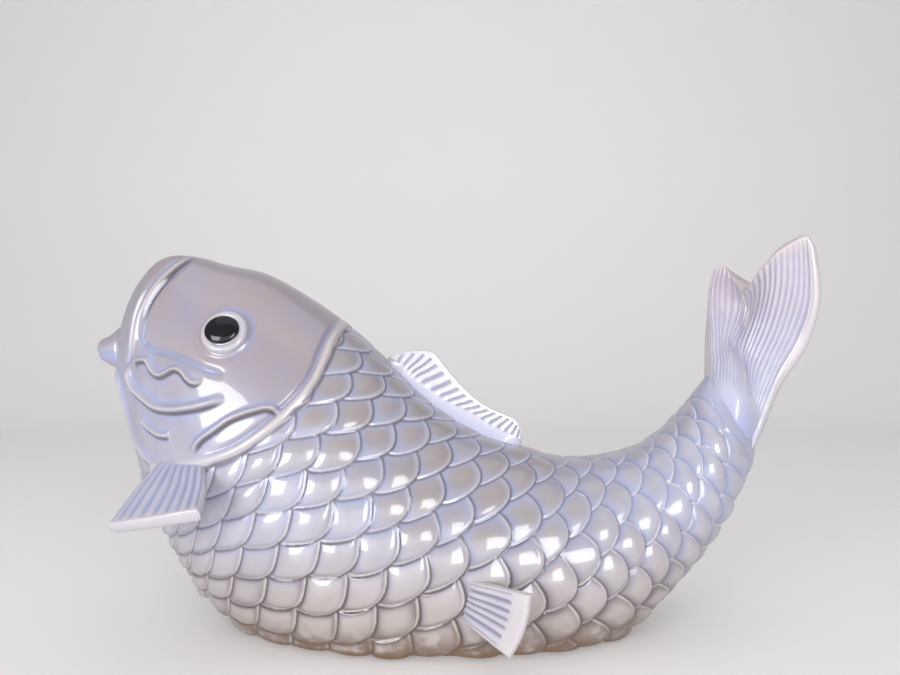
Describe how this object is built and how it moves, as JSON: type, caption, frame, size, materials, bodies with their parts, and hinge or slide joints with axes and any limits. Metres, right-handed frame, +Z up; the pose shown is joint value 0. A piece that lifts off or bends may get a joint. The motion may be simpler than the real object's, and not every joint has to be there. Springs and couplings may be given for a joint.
{
  "type": "fish figurine",
  "caption": "Hollow glazed ceramic carp lying on its belly, head and tail raised, with relief scales, ribbed fins and domed eyes.",
  "frame": {"origin": "on the table under the middle of the carp's length, in the plane where the flat foot rests", "axes": "+X runs from the head to the tail, +Z is up, and -Y is the carp's own left, the flank that faces the picture"},
  "size_m": [0.41, 0.189, 0.2205],
  "materials": {
    "glazed_body": "gloss",
    "glazed_fin": "gloss",
    "glazed_eye": "gloss",
    "black_glaze": "gloss",
    "felt": "matte"
  },
  "bodies": {
    "root": {"body_casting": "glazed_body", "tail_fin": "glazed_fin", "dorsal_fin": "glazed_fin", "pectoral_fin_left": "glazed_fin", "pectoral_fin_right": "glazed_fin", "pelvic_fin_left": "glazed_fin", "pelvic_fin_right": "glazed_fin", "eyeball_left": "glazed_eye", "eyeball_right": "glazed_eye", "pupil_left": "black_glaze", "pupil_right": "black_glaze", "foot_pad": "felt"}
  },
  "joints": []
}
